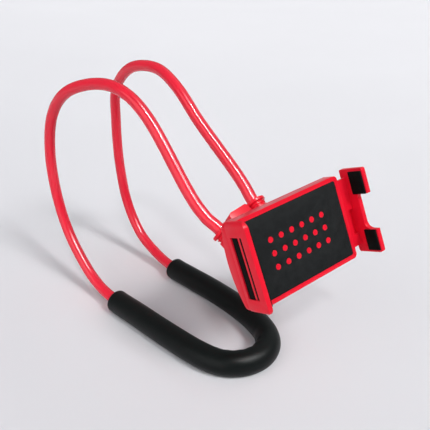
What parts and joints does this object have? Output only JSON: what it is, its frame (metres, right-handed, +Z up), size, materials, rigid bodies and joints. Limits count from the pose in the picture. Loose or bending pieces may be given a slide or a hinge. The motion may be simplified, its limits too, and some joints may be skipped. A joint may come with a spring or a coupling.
{
  "type": "neck-hung phone stand",
  "caption": "Bendable neck-hung phone stand: red gooseneck loop, black foam neck sleeve, hub, ball joint with lock nut, and a spring-loaded phone clamp.",
  "frame": {"origin": "on the surface that the stand rests on, on the flat underside of the neck sleeve, under the middle of its bend", "axes": "+X along the neck loop towards its bend, where the clamp is; +Y across the loop, towards the sliding jaw; +Z up"},
  "size_m": [0.2178, 0.0855, 0.1513],
  "materials": {
    "hose_red": "glossy soft plastic hose, red",
    "shell_red": "glossy moulded plastic, red",
    "foam": "matte closed-cell foam, black",
    "pad": "matte rubber, dark charcoal",
    "wire": "drawn",
    "steel": "satin",
    "liner": "natural acetal, satin"
  },
  "bodies": {
    "neck": {"flex_hose": "hose_red", "core_wire": "wire", "neck_sleeve": "foam", "end_ferrules": "wire", "near_collar": "shell_red", "far_collar": "shell_red", "hub_front_shell": "shell_red", "hub_back_shell": "shell_red", "hub_screws": "steel"},
    "stud": {"ball_stud": "steel"},
    "ball_liners": {"ball_seat": "liner", "ball_ring": "liner"},
    "clamp": {"clamp_tray": "shell_red", "front_pad": "pad", "fixed_grip_pad": "pad", "back_cover": "shell_red", "cover_screws": "steel", "guide_rods": "steel", "jaw_springs": "steel", "spring_anchor": "liner"},
    "nut": {"lock_nut": "shell_red"},
    "jaw": {"sliding_jaw": "shell_red", "upper_grip_pad": "pad", "lower_grip_pad": "pad"}
  },
  "joints": [
    {"name": "stud_swivel", "type": "hinge", "parent": "neck", "child": "stud", "pos_m": [0.0013, 0.0026, 0.0799], "axis": [0.9703, 0, 0.2419], "range_deg": [-90, 90]},
    {"name": "ball_tilt", "type": "hinge", "parent": "stud", "child": "ball_liners", "pos_m": [0.0013, 0.0026, 0.0799], "axis": [0.1037, 0.9906, 0.0892], "range_deg": [-18, 18]},
    {"name": "clamp_spin", "type": "hinge", "parent": "ball_liners", "child": "clamp", "pos_m": [0.0013, 0.0026, 0.0799], "axis": [0.9214, -0.1295, 0.3665], "range_deg": [-180, 180]},
    {"name": "nut_turn", "type": "hinge", "parent": "clamp", "child": "nut", "pos_m": [0.0013, 0.0026, 0.0799], "axis": [0.9214, -0.1295, 0.3665], "range_deg": [-180, 180]},
    {"name": "jaw_slide", "type": "slide", "parent": "clamp", "child": "jaw", "axis": [0.1037, 0.9906, 0.0892], "range_m": [0, 0.02], "stiffness_N_per_m": 60, "springref_m": -0.03}
  ]
}
